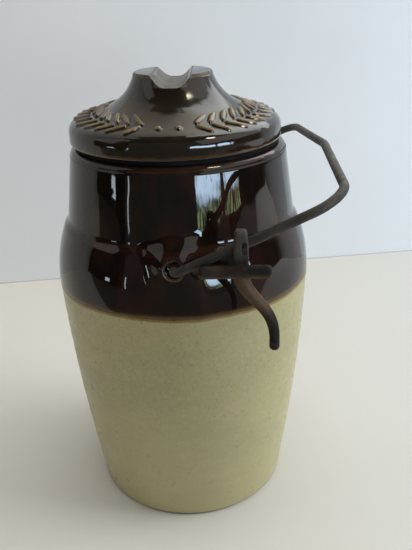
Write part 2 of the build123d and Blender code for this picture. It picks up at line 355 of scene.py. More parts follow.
def jar_glazes():
    """Dark slip above a wandering dip line, a thin ochre edge where it thins, pale glaze below."""
    s = Shader("stoneware_glazes")
    angle_wave = s.noise(34, 2)
    fine_wave = s.noise(240, 3)
    z = s.axis("Z")
    drift = s.math("ADD", s.math("MULTIPLY", angle_wave, 0.0034), s.math("MULTIPLY", fine_wave, 0.0006))
    level = s.math("SUBTRACT", s.math("ADD", z, drift), glaze_line + 0.0020)
    dipped = s.ramp(level, -0.00030, 0.00030)
    edge = s.math("MULTIPLY", s.ramp(level, -0.0011, -0.0004), s.ramp(level, 0.0014, 0.0006))
    fringe = s.ramp(level, -0.0022, -0.0015, 0.0, 0.9)
    thin = s.ramp(level, 0.0040, 0.0004)

    cloud = s.ramp(s.noise(26, 4), 0.35, 0.68)
    body = s.blend(cloud, cream, cream_green)
    rings = s.noise(14, 3, stretch=(1.0, 1.0, 14.0))
    body = s.blend(s.ramp(rings, 0.42, 0.66, 0.0, 0.35), body, cream_warm)
    grain = s.noise(1100, 5, 0.75)
    body = s.blend(s.ramp(grain, 0.50, 0.70, 0.0, 0.50), body, speck_brown)
    mottle = s.noise(330, 4, 0.6)
    body = s.blend(s.ramp(mottle, 0.46, 0.66, 0.0, 0.22), body, cream_pale)
    speckle = s.add("ShaderNodeTexVoronoi", Vector=s.place, Scale=300.0, Randomness=1.0)
    keep = s.ramp(s.add("ShaderNodeSeparateColor", Color=speckle.outputs["Color"]).outputs[0], 0.84, 0.88)
    spots = s.math("MULTIPLY", s.ramp(speckle.outputs["Distance"], 0.13, 0.05), keep)
    body = s.blend(s.math("MULTIPLY", spots, 0.60), body, speck_brown)
    pit = s.add("ShaderNodeTexVoronoi", Vector=s.place, Scale=95.0, Randomness=1.0)
    pit_keep = s.ramp(s.add("ShaderNodeSeparateColor", Color=pit.outputs["Color"]).outputs[1], 0.86, 0.88)
    pits = s.math("MULTIPLY", s.ramp(pit.outputs["Distance"], 0.062, 0.036), pit_keep)
    body = s.blend(s.math("MULTIPLY", pits, 0.9), body, pit_black)
    # Paler towards the base: painted bounce light from the pale table.
    body = s.blend(s.ramp(z, 0.075, 0.0, 0.0, 0.5), body, cream_painted_bounce)

    red = s.ramp(s.noise(60, 4), 0.48, 0.72, 0.0, 0.55)
    slip = s.blend(red, slip_brown, slip_red)
    streaks = s.ramp(s.noise(150, 3, stretch=(1.0, 1.0, 0.15)), 0.50, 0.70, 0.0, 0.4)
    slip = s.blend(streaks, slip, slip_red)
    slip = s.blend(s.math("MULTIPLY", thin, 0.35), slip, slip_red)
    rim_edge = s.math("ADD", z, s.math("MULTIPLY", s.noise(180, 3), 0.0022))
    rim_wear = s.ramp(rim_edge, rim_height - 0.0018, rim_height + 0.0002)
    slip = s.blend(s.math("MULTIPLY", rim_wear, 0.45), slip, rim_red)
    ledge = s.math("MULTIPLY", s.ramp(z, shoulder_top - 0.0012, shoulder_top + 0.0006),
                   s.ramp(z, neck_foot + 0.0010, neck_foot - 0.0004))
    slip = s.blend(s.math("MULTIPLY", ledge, 0.55), slip, slip_red)

    dx = s.axis("X")
    dz = s.math("SUBTRACT", z, ear_height)
    hole_distance = s.math("SQRT", s.math("ADD", s.math("MULTIPLY", dx, dx), s.math("MULTIPLY", dz, dz)))
    ragged = s.math("ADD", hole_distance, s.math("MULTIPLY", s.noise(420, 3), 0.0010))
    lip_ring = s.math("MULTIPLY", s.ramp(ragged, ear_hole_radius + 0.0002, ear_hole_radius + 0.0005),
                      s.ramp(ragged, ear_hole_radius + 0.0016, ear_hole_radius + 0.0011))
    facing = s.ramp(s.math("ABSOLUTE", s.axis("Y")), ear_reach - 0.0024, ear_reach - 0.0016)
    lip_ring = s.math("MULTIPLY", lip_ring, facing)
    slip = s.blend(s.math("MULTIPLY", lip_ring, 0.75), slip, lip_tan)
    sunk = s.ramp(s.math("ABSOLUTE", s.axis("Y")), ear_reach - 0.0025, ear_reach - 0.0010, 1.0, 0.0)
    in_hole = s.ramp(hole_distance, ear_hole_radius + 0.0002, ear_hole_radius - 0.0001)
    in_hole = s.math("MULTIPLY", in_hole, sunk)
    slip = s.blend(s.math("MULTIPLY", in_hole, 0.7), slip, hole_brown)

    colour = s.blend(dipped, s.blend(fringe, body, slip_fringe), slip)
    colour = s.blend(s.math("MULTIPLY", edge, 0.92), colour, slip_ochre)
    foot_rub = s.ramp(s.math("ADD", z, s.math("MULTIPLY", s.noise(150, 3), 0.0016)), 0.0024, 0.0012)
    colour = s.blend(s.math("MULTIPLY", foot_rub, 0.8), colour, bare_clay)

    body_rough = s.ramp(s.noise(160, 4), 0.3, 0.7, 0.27, 0.43)
    slip_rough = s.ramp(s.noise(90, 3), 0.3, 0.75, 0.02, 0.06)
    rough = s.add("ShaderNodeMix", {"data_type": "FLOAT"})
    s.put(rough.inputs[0], dipped)
    s.put(rough.inputs[2], body_rough)
    s.put(rough.inputs[3], slip_rough)
    matt = s.math("MULTIPLY", lip_ring, 0.35)
    rough_all = s.math("ADD", rough.outputs[0], matt, clamp=True)

    relief = s.math("ADD", s.math("MULTIPLY", dipped, 0.00022), s.math("MULTIPLY", pits, -0.0003))
    skin = s.noise(45, 2)
    relief = s.math("ADD", relief, s.math("MULTIPLY", skin, 0.00022))
    relief = s.math("ADD", relief, s.math("MULTIPLY", grain, s.ramp(dipped, 0.0, 1.0, 0.000025, 0.0)))
    runs = s.noise(60, 2, stretch=(1.0, 1.0, 0.12))
    relief = s.math("ADD", relief, s.math("MULTIPLY", s.math("MULTIPLY", runs, dipped), 0.00024))
    return s.finish(Base_Color=colour, Roughness=rough_all, Normal=s.bump(relief, 1.0), IOR=1.47)


jar = grid_mesh("jar_of_stoneware", throwing_marks(jar_surface()), closed_rows=False, closed_columns=True)
jar.data.materials.append(jar_glazes())
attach(jar, "jar")
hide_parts("crock")


# ------------------------------------------------------------------------------------------------
# Seal ring. Flat black rubber, lying loose on the rim round the lid's flange. Its outer edge is
# all that shows, as a dark line under the lid.
# ------------------------------------------------------------------------------------------------
ring_low, ring_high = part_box("seal_ring")
ring_outer = ring_high[0]
ring_width = 0.0046
rubber_black = (0.006, 0.0055, 0.005)
rubber_dust = (0.03, 0.026, 0.021)


def ring_surface():
    """A rounded rectangle (a superellipse of power 7) turned about Z, its outer edge slightly uneven."""
    around = np.linspace(0, 2 * np.pi, 220, endpoint=False)
    section = np.linspace(0, 2 * np.pi, 40, endpoint=False)
    middle = (ring_low[2] + ring_high[2]) / 2
    thick = (ring_high[2] - ring_low[2]) / 2
    power = 2 / 7
    reach = ring_width / 2 * np.sign(np.cos(section)) * abs(np.cos(section)) ** power
    r = ring_outer - ring_width / 2 + reach
    z = middle + thick * np.sign(np.sin(section)) * abs(np.sin(section)) ** power
    uneven = 1 - 0.0006 * (1 + np.sin(3 * around) + 0.5 * np.sin(11 * around + 1))[:, None] / 2.5
    radius = r[None, :] * uneven
    height = np.repeat(z[None, :], len(around), 0)
    return np.stack([radius * np.cos(around)[:, None], radius * np.sin(around)[:, None], height], -1)


def ring_rubber():
    """Dull black rubber with a little dust."""
    s = Shader("black_rubber")
    dust = s.ramp(s.noise(300, 4), 0.50, 0.75, 0.0, 0.25)
    colour = s.blend(dust, rubber_black, rubber_dust)
    relief = s.noise(1500, 3)
    return s.finish(Base_Color=colour, Roughness=s.ramp(s.noise(200, 3), 0.3, 0.7, 0.6, 0.85),
                    Specular_IOR_Level=0.10, Normal=s.bump(relief, 0.00008))


ring = grid_mesh("seal_ring_of_rubber", ring_surface(), closed_rows=True, closed_columns=True)
ring.data.materials.append(ring_rubber())
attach(ring, "jar")
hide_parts("seal_ring")


# ------------------------------------------------------------------------------------------------
# Lid. Pressed and turned stoneware, glazed all over in dark slip that breaks to ochre on raised
# edges. A tall throat flares to a shallow slope; a saddle notch crosses the flat top, and a sprig
# of leaves is moulded on either side of the slope, with two berries where the sprigs meet.
# ------------------------------------------------------------------------------------------------
lid_low, lid_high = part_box("lid")
lid_middle = (lid_low[0] + lid_high[0]) / 2
lid_radius = (lid_high[0] - lid_low[0]) / 2
lid_top = lid_high[2]
seat_height = ring_high[2]
lid_columns = 540

top_radius = 0.0158
lip_round = 0.0008
throat_lean = 0.32
flare_drop = 0.011
flare_run = 0.012
slope_end_radius = lid_radius - 0.0046
slope_end_height = seat_height + 0.0092
slope_fall = 0.26
edge_band = 0.0036
edge_round = 0.0009
shoulder_ease = 0.0033
flange_radius = 0.0355
flange_depth = 0.0065
flange_wall = 0.0050
flange_round = 0.0012
hollow_rise = 0.011
notch_depth = 0.0044
notch_floor_half = 0.0036
notch_slope = 1.16
notch_corner = 0.0026          # width over which the trough's floor turns up into its sides
notch_rows = 100               # rows of the section, from the middle of the top, that it may cut
notch_lip_half = 0.0076        # how far from the middle its worn lips lie

leaf_height = 0.00095
leaf_pairs = 16                # pairs of grains in each sprig
leaf_start = 17                # bearing of the first pair from the front, in degrees
leaf_pitch = 9.75
leaf_slant = 46
leaf_length = 0.0078
leaf_half_width = 0.00125
sprig_radius = 0.0338
sprig_inner = (0.0255, 0.0270)
sprig_outer = (0.0412, 0.0424)
berry_bearings = (-6, 6, 174, 186)
berry_radius = 0.0013
berry_circle = 0.0352

lid_tint = (0.030, 0.021, 0.012)
leaf_ochre = (0.215, 0.145, 0.062)
lip_ochre = (0.070, 0.043, 0.016)
trough_olive = (0.080, 0.064, 0.036)
edge_brown = (0.090, 0.055, 0.027)
polish_fade = (seat_height + 0.0072, seat_height + 0.0115)  # shinier below, duller above


def bezier(a, b, c, d, count):
    """Cubic Bezier curve of (radius, height) points, the last left to the next stretch."""
    t = np.linspace(0, 1, count, endpoint=False)[:, None]
    a, b, c, d = (np.array(point) for point in (a, b, c, d))
    return (1 - t) ** 3 * a + 3 * (1 - t) ** 2 * t * b + 3 * (1 - t) * t**2 * c + t**3 * d


def lid_profile():
    """Section from the middle of the top, down the throat and slope, round the edge and up inside."""
    flat = straight((0.0002, lid_top), (top_radius - 0.0009, lid_top), 46)
    lip = quarter((top_radius - 0.0007, lid_top - lip_round), lip_round, 90, 20, 6)[:-1]
    start = lip[-1] + np.array([0.0001, -0.0003])
    flare = bezier(
        start,
        (start[0] + throat_lean * flare_drop, lid_top - flare_drop),
        (slope_end_radius - flare_run, slope_end_height + slope_fall * flare_run),
        (slope_end_radius, slope_end_height),
        80,
    )
    turn = bezier(
        (slope_end_radius, slope_end_height),
        (slope_end_radius + shoulder_ease, slope_end_height - slope_fall * shoulder_ease),
        (lid_radius, seat_height + edge_band + shoulder_ease),
        (lid_radius, seat_height + edge_band),
        14,
    )
    band = straight((lid_radius, seat_height + edge_band), (lid_radius, seat_height + edge_round), 3)
    under = quarter((lid_radius - edge_round, seat_height + edge_round), edge_round, 0, -90, 6)
    seat = straight((lid_radius - 0.0013, seat_height), (flange_radius + 0.0003, seat_height), 4)
    foot = seat_height - flange_depth
    flange = straight((flange_radius, seat_height - 0.0003), (flange_radius, foot + flange_round), 4)
    turn_in = quarter((flange_radius - flange_round, foot + flange_round), flange_round, 0, -90, 5)
    inner = flange_radius - flange_wall
    turn_up = quarter((inner + flange_round, foot + flange_round), flange_round, -90, -180, 5)
    hollow_radius = np.linspace(inner, 0.0002, 12)
    sphere = (inner**2 + hollow_rise**2) / (2 * hollow_rise)
    hollow_height = seat_height + hollow_rise - sphere + np.sqrt(sphere**2 - hollow_radius**2)
    hollow = np.stack([hollow_radius, hollow_height], -1)
    return np.concatenate([flat, lip, flare, turn, band, under, seat, flange, turn_in, turn_up, hollow])


def leaf_relief(x, y):
    """Height of the moulded sprigs: plump grains in pairs along an arc at each side, and two berries
    at the front and at the back. A grain is a blunt oval with a rounded top, (1 - v^2)^0.6 across."""
    relief = np.zeros_like(x)
    rows = np.random.default_rng(7).uniform(-1, 1, (2, leaf_pairs, 2, 2))
    for side in (0, 1):
        for rank in range(leaf_pairs):
            bearing = (2 * side - 1) * np.radians(leaf_start + rank * leaf_pitch)
            outward = np.array([np.sin(bearing), -np.cos(bearing)])
            along = np.array([np.cos(bearing), np.sin(bearing)]) * (2 * side - 1)
            for row, way in enumerate((-1, 1)):
                slant = np.radians(leaf_slant + 6 * rows[side, rank, row, 0])
                root = outward * (sprig_radius + way * 0.0007)
                grow = along * np.cos(slant) + outward * way * np.sin(slant)
                length = leaf_length + 0.0008 * rows[side, rank, row, 1]
                u = ((x - root[0]) * grow[0] + (y - root[1]) * grow[1]) / length
                v = -(x - root[0]) * grow[1] + (y - root[1]) * grow[0]
                swell = np.clip(4 * u * (1 - u), 0, 1) ** 0.4 * leaf_half_width
                body = np.clip(1 - (v / np.maximum(swell, 1e-5)) ** 2, 0, 1) ** 0.6
                relief = np.maximum(relief, np.where((u > 0) & (u < 1), body, 0))
    for bearing in np.radians(berry_bearings):
        centre = np.array([np.sin(bearing), -np.cos(bearing)]) * berry_circle
        away = np.hypot(x - centre[0], y - centre[1]) / berry_radius
        relief = np.maximum(relief, np.clip(1 - away**2, 0, 1) ** 0.5)
    return relief * leaf_height


def lid_surface():
    """Section turned about Z; the top is lowered to the notch's trough by a smooth minimum, and the
    slope is raised by the moulded leaves."""
    profile = lid_profile()
    angle = np.linspace(0, 2 * np.pi, lid_columns, endpoint=False)
    radius, height = profile[:, 0:1], np.repeat(profile[:, 1:2], lid_columns, 1)
    x, y = radius * np.sin(angle), -radius * np.cos(angle)
    worn = 0.00008 * np.sin(420 * y + 1)
    half = notch_floor_half + 0.0007 * smooth_step(-0.004, -0.016, y)
    half += worn - 0.0003 * smooth_step(0.004, 0.016, y)
    floor = lid_top - notch_depth
    trough = smooth_max(floor + 0 * x, floor + notch_slope * (abs(x) - half), notch_corner)
    upper = (np.arange(len(profile)) < notch_rows)[:, None]
    cut = smooth_min(height, trough, 0.0010 - 0.0006 * smooth_step(0.0145, 0.0160, radius))
    height = np.where(upper & (height > floor - 0.0006), np.minimum(cut, height), height)
    relief = leaf_relief(x, y) * (profile[:, 1:2] > seat_height + 0.004)
    swell = relief * smooth_step(*sprig_inner, radius) * (1 - smooth_step(*sprig_outer, radius))
    lean = 0.25 * swell * (1 - smooth_step(0.0405, 0.0415, radius))
    x, y = x + np.sin(angle) * lean, y - np.cos(angle) * lean
    return np.stack([x + lid_middle, y, height + swell], -1), swell


def lid_glaze():
    """Dark slip glaze that breaks to ochre on the leaves and lips, is rubbed paler in the notch's
    trough, and turns brown along the low edge."""
    s = Shader("lid_slip_glaze")
    raised = s.add("ShaderNodeAttribute", {"attribute_name": "raised"}).outputs["Fac"]
    z = s.axis("Z")
    breakup = s.noise(420, 4, 0.6)
    patch = s.noise(70, 3)
    crest = s.ramp(s.math("ADD", raised, s.math("MULTIPLY", breakup, 0.5)), 0.62, 1.05)
    crest = s.math("MULTIPLY", crest, s.ramp(patch, 0.30, 0.55, 0.45, 1.0))
    red = s.ramp(s.noise(50, 4), 0.48, 0.75, 0.0, 0.7)
    slip = s.blend(red, slip_brown, slip_red)
    slip = s.blend(0.35, slip, lid_tint)
    slip = s.blend(s.math("MULTIPLY", crest, 0.85), slip, leaf_ochre)
    lips = s.add("ShaderNodeAttribute", {"attribute_name": "lips"}).outputs["Fac"]
    rubbed = s.ramp(s.math("ADD", lips, s.math("MULTIPLY", breakup, 0.9)), 1.05, 1.45)
    slip = s.blend(s.math("MULTIPLY", rubbed, 0.95), slip, lip_ochre)
    trough = s.add("ShaderNodeAttribute", {"attribute_name": "trough"}).outputs["Fac"]
    worn = s.ramp(s.math("ADD", trough, s.math("MULTIPLY", breakup, 0.5)), 0.65, 1.15)
    slip = s.blend(s.math("MULTIPLY", worn, 0.60), slip, trough_olive)
    drip = s.math("ADD", z, s.math("MULTIPLY", s.noise(160, 3), 0.0020))
    low_edge = s.ramp(drip, seat_height + 0.0030, seat_height + 0.0018)
    slip = s.blend(s.math("MULTIPLY", low_edge, 0.60), slip, edge_brown)
    rough = s.ramp(s.noise(120, 3), 0.3, 0.75, 0.10, 0.20)
    rough = s.math("MULTIPLY", rough, s.ramp(z, *polish_fade, 0.4, 1.0))
    rough = s.math("ADD", rough, s.math("MULTIPLY", s.math("ADD", worn, rubbed), 0.26), clamp=True)
    relief = s.math("MULTIPLY", s.noise(55, 3), 0.00060)
    relief = s.math("ADD", relief, s.math("MULTIPLY", s.noise(700, 3), 0.000010))
    relief = s.math("ADD", relief, s.math("MULTIPLY", breakup, s.math("MULTIPLY", crest, 0.00012)))
    relief = s.math("ADD", relief, s.math("MULTIPLY", breakup, s.math("MULTIPLY", rubbed, 0.00035)))
    return s.finish(Base_Color=slip, Roughness=rough, Normal=s.bump(relief, 1.0), IOR=1.54)


def point_value(made, name, values):
    """Stores one number for each vertex, which the material reads by name."""
    layer = made.data.attributes.new(name, "FLOAT", "POINT")
    layer.data.foreach_set("value", np.ascontiguousarray(values, dtype=np.float32).ravel())


lid_points, lid_swell = lid_surface()
lid = grid_mesh("lid_of_stoneware", lid_points, closed_rows=False, closed_columns=True)
point_value(lid, "raised", lid_swell / leaf_height)
lid_across = abs(lid_points[..., 0] - lid_middle)
lid_reach = np.hypot(lid_points[..., 0] - lid_middle, lid_points[..., 1])
below_top = lid_top - lid_points[..., 2]
outer_lip = np.exp(-((lid_reach - top_radius) / 0.0005) ** 2) * (below_top < 0.0022)
notch_lip = np.exp(-((lid_across - notch_lip_half) / 0.0006) ** 2) * (below_top < 0.0014)
notch_lip *= lid_reach < top_radius
point_value(lid, "lips", np.maximum(outer_lip, notch_lip))
in_trough = (1 - smooth_step(0.0055, 0.0075, lid_across)) * (below_top < notch_depth + 0.0001)
in_trough *= lid_reach < 0.0185
point_value(lid, "trough", in_trough)
lid.data.materials.append(lid_glaze())
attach(lid, "lid")
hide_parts("lid")


# ------------------------------------------------------------------------------------------------
# Bail. One length of iron wire bent by hand: feet turned into the ears, legs that spread, two
# round corners and a shallow peak. It is stored open, swung over to one side, and rusted brown.
# ------------------------------------------------------------------------------------------------
wire_radius = 0.00175
foot_depth = 0.0042            # how far a foot reaches into its ear
leg_gap = 0.00055              # between an ear's face and the leg
leg_spread = 0.0067            # how far each leg leans out by the time it reaches its corner
lid_gap = 0.0042               # between the peak and the lid's top, with the bail upright
foot_end = ear_reach - foot_depth
leg_foot = ear_reach + leg_gap + wire_radius
leg_corner = leg_foot + leg_spread
peak_rise = lid_top - ear_height + lid_gap + wire_radius
near_corner_rise = peak_rise - 0.0022
far_corner_rise = peak_rise - 0.0084
peak_offset = 0.0053
rest_tilt = np.radians(26.4)
bail_bends = (0.0033, 0.013, 0.020, 0.013, 0.0033)
wire_pale = (ear_height + 0.008, ear_height + 0.072)
loose_rust = (0.103, 0.060, 0.031)
crust_black = (0.016, 0.011, 0.007)


def rounded_route(corners, bends, spacing):
    """Points along straight runs joined by tangent arcs, about a spacing apart."""
    corners = np.array(corners)
    path = [corners[:1]]
    at = corners[0]
    for before, corner, after, bend in zip(corners[:-2], corners[1:-1], corners[2:], bends):
        back = (before - corner) / np.linalg.norm(before - corner)
        ahead = (after - corner) / np.linalg.norm(after - corner)
        half = np.arccos(np.clip(back @ ahead, -1, 1)) / 2
        start = corner + back * bend / np.tan(half)
        stop = corner + ahead * bend / np.tan(half)
        middle = corner + (back + ahead) / np.linalg.norm(back + ahead) * bend / np.sin(half)
        run = max(2, int(np.linalg.norm(start - at) / spacing))
        path.append(np.linspace(at, start, run + 1)[1:])
        sweep = np.pi - 2 * half
        steps = max(3, int(bend * sweep / spacing * 1.5))
        share = np.linspace(0, 1, steps + 1)[1:, None]
        spoke_a, spoke_b = start - middle, stop - middle
        arc = (np.sin((1 - share) * sweep) * spoke_a + np.sin(share * sweep) * spoke_b) / np.sin(sweep)
        path.append(middle + arc)
        at = stop
    run = max(2, int(np.linalg.norm(corners[-1] - at) / spacing))
    path.append(np.linspace(at, corners[-1], run + 1)[1:])
    return np.concatenate(path)


def tube(path, radii, sides, up):
    """Round section carried along a path in one plane: rings of points square to the path."""
    ahead = np.gradient(path, axis=0)
    ahead /= np.linalg.norm(ahead, axis=1)[:, None]
    across = np.cross(ahead, up)
    across /= np.linalg.norm(across, axis=1)[:, None]
    lift = np.cross(across, ahead)
    angle = np.linspace(0, 2 * np.pi, sides, endpoint=False)
    ring = across[:, None] * np.cos(angle)[None, :, None] + lift[:, None] * np.sin(angle)[None, :, None]
    return path[:, None] + ring * radii[:, None, None]


def bail_surface():
    """The route in the bail's own plane, tilted about the ears' line, with slight hand-bent waviness."""
    route = [(foot_end, 0), (leg_foot, 0), (leg_corner, near_corner_rise), (-peak_offset, peak_rise),
             (-leg_corner, far_corner_rise), (-leg_foot, 0), (-foot_end, 0)]
    flat = rounded_route(route, bail_bends, 0.0011)
    across, along = flat[:, 0], flat[:, 1]
    sag = 0.00012 * np.sin(along * 190 + across * 60) * smooth_step(0.006, 0.02, along)
    path = np.stack([along * np.cos(rest_tilt) - sag * np.sin(rest_tilt), -across,
                     ear_height + along * np.sin(rest_tilt) + sag * np.cos(rest_tilt)], -1)
    length = np.concatenate([[0], np.cumsum(np.linalg.norm(np.diff(path, axis=0), axis=1))])
    radii = wire_radius * (0.985 + 0.012 * np.sin(length * 700) * np.sin(length * 260 + 1))
    radii[[0, -1]] = 0.0003
    cap = np.array([0.62, 0.9])
    radii[1:3] *= cap
    radii[-3:-1] *= cap[::-1]
    up = np.array([-np.sin(rest_tilt), 0, np.cos(rest_tilt)])
    return tube(path, radii, 18, up)


def rusty_iron(name, dark, grey, rust, rust_share, fineness, wear, pale_from, shine, rusted=None):
    """Old iron: dark skin, greyer where handled and above a height, rust in patches, a crusty grain.
    Between the two heights of rusted, if given, loose brown rust covers the skin."""
    s = Shader(name)
    patch = s.ramp(s.noise(130 * fineness, 5, 0.6), 0.42, 0.62)
    worn = s.ramp(s.noise(75 * fineness, 4), 0.50, 0.72, 0.0, wear)
    crust = s.noise(1400, 4, 0.7)
    colour = s.blend(worn, dark, grey)
    colour = s.blend(s.math("MULTIPLY", patch, rust_share), colour, rust)
    pale = s.ramp(s.math("ADD", s.axis("Z"), s.math("MULTIPLY", worn, 0.003)), *pale_from, 0.0, 0.8)
    colour = s.blend(pale, colour, grey)
    if rusted:
        ragged = s.math("ADD", s.axis("Z"), s.math("MULTIPLY", s.noise(210, 4), 0.0040))
        loose = s.math("MULTIPLY", s.ramp(ragged, rusted[0], rusted[0] + 0.0055),
                       s.ramp(ragged, rusted[1] + 0.0030, rusted[1]))
        colour = s.blend(s.math("MULTIPLY", loose, 0.85), colour, loose_rust)
    colour = s.blend(s.ramp(crust, 0.50, 0.70, 0.0, 0.45), colour, crust_black)
    relief = s.math("ADD", s.math("MULTIPLY", crust, 0.00009), s.math("MULTIPLY", s.noise(420, 3), 0.00016))
    metal = s.ramp(patch, 0.0, 1.0, 0.30, 0.05)
    rough = s.ramp(s.noise(500, 3), 0.3, 0.7, 0.48, 0.74)
    return s.finish(Base_Color=colour, Roughness=rough, Metallic=metal, Specular_IOR_Level=shine,
                    Normal=s.bump(relief, 1.0))


bail = grid_mesh("bail_of_wire", bail_surface(), closed_rows=False, closed_columns=True)
wire_colours = (0.032, 0.028, 0.021), (0.104, 0.098, 0.087), (0.050, 0.030, 0.014)
bail.data.materials.append(rusty_iron("wire_iron", *wire_colours, rust_share=0.5, fineness=1.0, wear=0.30,
                                      pale_from=wire_pale, shine=0.5))
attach(bail, "bail")
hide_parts("bail")


# ------------------------------------------------------------------------------------------------
# Clamp lever. One small iron casting that hangs on the bail's near leg by a slotted eye: a shank,
# a round cross-bar and a curved finger to pull. Its skin is rough from the sand mould.
# ------------------------------------------------------------------------------------------------
lever_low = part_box("clamp_lever")[0]
lever_pale = (lever_low[2] + 0.0340, lever_low[2] + 0.0380)    # heights over which it turns paler
lever_rusted = (lever_low[2] + 0.0160, lever_low[2] + 0.0315)  # heights between which rust covers it


def lever_casting():
    """The casting's solid form in an even mesh, its corners softened."""
    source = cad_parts["clamp_lever"]
    mesh = bpy.data.meshes.new_from_object(source)
    made = bpy.data.objects.new("clamp_lever_casting", mesh)
    bpy.context.scene.collection.objects.link(made)
    made.matrix_world = source.matrix_world
    mesh.transform(made.matrix_world)
    made.matrix_world = Matrix.Identity(4)
    remesh = made.modifiers.new("even_skin", "REMESH")
    remesh.mode = "VOXEL"
    remesh.voxel_size = 0.00022
    remesh.use_smooth_shade = True
    smooth = made.modifiers.new("soft_corners", "SMOOTH")
    smooth.factor = 0.5
    smooth.iterations = 9
    done = bpy.data.meshes.new_from_object(made.evaluated_get(bpy.context.evaluated_depsgraph_get()))
    made.modifiers.clear()
    made.data = done
    done.materials.clear()
    return made


lever = lever_casting()
lever_colours = (0.008, 0.0068, 0.0052), (0.060, 0.053, 0.038), (0.040, 0.018, 0.007)
lever_skin = rusty_iron("cast_iron_skin", *lever_colours, rust_share=0.5, fineness=1.3, wear=0.3,
                        pale_from=lever_pale, shine=0.22, rusted=lever_rusted)
lever.data.materials.append(lever_skin)
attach(lever, "lever")
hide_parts("clamp_lever")


# ------------------------------------------------------------------------------------------------
# Studio: a pale paper table with a paper backdrop close behind, in a dim room. The glossy glaze
# mirrors two tall panes at the front right and the room's darkness. Matt surfaces are lit by four
# soft lamps, which the glaze doesn't mirror, and by a dim pale world.
# ------------------------------------------------------------------------------------------------
def card(name, corners, material, seen="camera diffuse glossy shadow transmission"):
    """Flat sheet for the set; only the kinds of ray that are named can meet it."""
    mesh = bpy.data.meshes.new(name)
    mesh.from_pydata([tuple(corner) for corner in corners], [], [tuple(range(len(corners)))])
    made = bpy.data.objects.new(name, mesh)
    bpy.context.scene.collection.objects.link(made)
    mesh.materials.append(material)
    for ray in ("camera", "diffuse", "glossy", "shadow", "transmission"):
        setattr(made, "visible_" + ray, ray in seen)


def paper(name, left, right, one_sided):
    """Matt paper, faintly mottled, whose colour changes from the left to the right: painted light and shade,
    standing in for light that falls unevenly across the set.
    One-sided paper is clear from behind."""
    s = Shader(name)
    tone = s.ramp(s.noise(9, 3), 0.3, 0.7, 0.0, 0.06)
    # The change across X is painted light and shade.
    across = s.ramp(s.axis("X"), -0.45, 0.50)
    colour = s.blend(tone, s.blend(across, left, right), (0.45, 0.44, 0.40))
    s.finish(Base_Color=colour, Roughness=0.9, Specular_IOR_Level=0.2)
    if one_sided:
        behind = s.add("ShaderNodeNewGeometry").outputs["Backfacing"]
        clear = s.add("ShaderNodeBsdfTransparent")
        pick = s.add("ShaderNodeMixShader")
        s.put(pick.inputs[0], behind)
        s.tree.links.new(s.surface.outputs[0], pick.inputs[1])
        s.tree.links.new(clear.outputs[0], pick.inputs[2])
        s.tree.links.new(pick.outputs[0], s.tree.nodes["Material Output"].inputs["Surface"])
    return s.material


def glow(name, colour, strength):
    """Light-giving sheet of one colour."""
    s = Shader(name)
    return s.finish(Base_Color=(0.0, 0.0, 0.0, 1), Emission_Color=(*colour, 1), Emission_Strength=strength)


def side_sheen(name, colour, outer, inner, outer_strength, inner_strength):
    """Light-giving sheet whose strength changes along X from its outer end inward."""
    s = Shader(name)
    strength = s.ramp(s.axis("X"), outer, inner, outer_strength, inner_strength)
    return s.finish(Base_Color=(0.0, 0.0, 0.0, 1), Emission_Color=(*colour, 1), Emission_Strength=strength)


def garden_view(name):
    """Bright sky through leaves, with a darker hedge below; what the glaze mirrors in each pane."""
    s = Shader(name)
    foliage = s.noise(9, 4, 0.6, stretch=(1.0, 1.0, 2.2), distortion=0.6)
    height = s.math("ADD", s.axis("Z"), s.math("MULTIPLY", foliage, 0.16))
    hedge = s.ramp(height, 0.185, 0.125)
    leaves = s.ramp(foliage, 0.57, 0.63, 0.0, 0.65)
    gaps = s.ramp(s.noise(26, 3, stretch=(1.0, 1.0, 0.6)), 0.46, 0.60)
    green = s.blend(gaps, (0.016, 0.020, 0.014), (0.190, 0.230, 0.110))
    colour = s.blend(s.math("MAXIMUM", hedge, leaves), (0.58, 0.78, 1.0), green)
    return s.finish(Base_Color=(0.0, 0.0, 0.0, 1), Emission_Color=colour, Emission_Strength=19.0)


def upright(x0, y0, x1, y1, low, high):
    """Corners of an upright sheet over a line on the floor."""
    return [(x0, y0, low), (x1, y1, low), (x1, y1, high), (x0, y0, high)]


def level(x0, y0, x1, y1, height):
    """Corners of a level sheet."""
    return [(x0, y0, height), (x1, y0, height), (x1, y1, height), (x0, y1, height)]


table_side = 1.3
room_side = 2.6
room_front = -2.1
room_back = 0.3
room_floor = -0.9
room_top = 2.6
fold_left = (-1.30, 0.040)
fold_right = (1.30, 0.432)
# Table paper painted lighter and warmer at the left and darker at the right, backdrop painted lighter and
# bluer at the right: painted light and shade.
card("table_top", level(-table_side, -0.60, table_side, 1.4, 0),
     paper("table_paper", (0.75, 0.70, 0.60), (0.585, 0.575, 0.53), one_sided=False))
card("table_front_shade", level(-table_side, -0.60, table_side, -0.150, 0.0004),
     Shader("shaded_paper").finish(Base_Color=(0.15, 0.12, 0.10, 1), Roughness=1.0), "glossy")
card("backdrop", upright(*fold_left, *fold_right, 0.0, 1.6),
     paper("backdrop_paper", (0.86, 0.85, 0.86), (0.86, 0.93, 1.0), one_sided=True))
# Thin grey strip along the fold, seen only by the camera: a painted shadow in the crease of the paper.
card("fold_shadow", [(*fold_left, 0.0002), (*fold_right, 0.0002),
                     (fold_right[0], fold_right[1] - 0.0022, 0.0002),
                     (fold_left[0], fold_left[1] - 0.0022, 0.0002)],
     Shader("fold_painted_shadow").finish(Base_Color=(0.42, 0.42, 0.42, 1), Roughness=1.0), "camera")

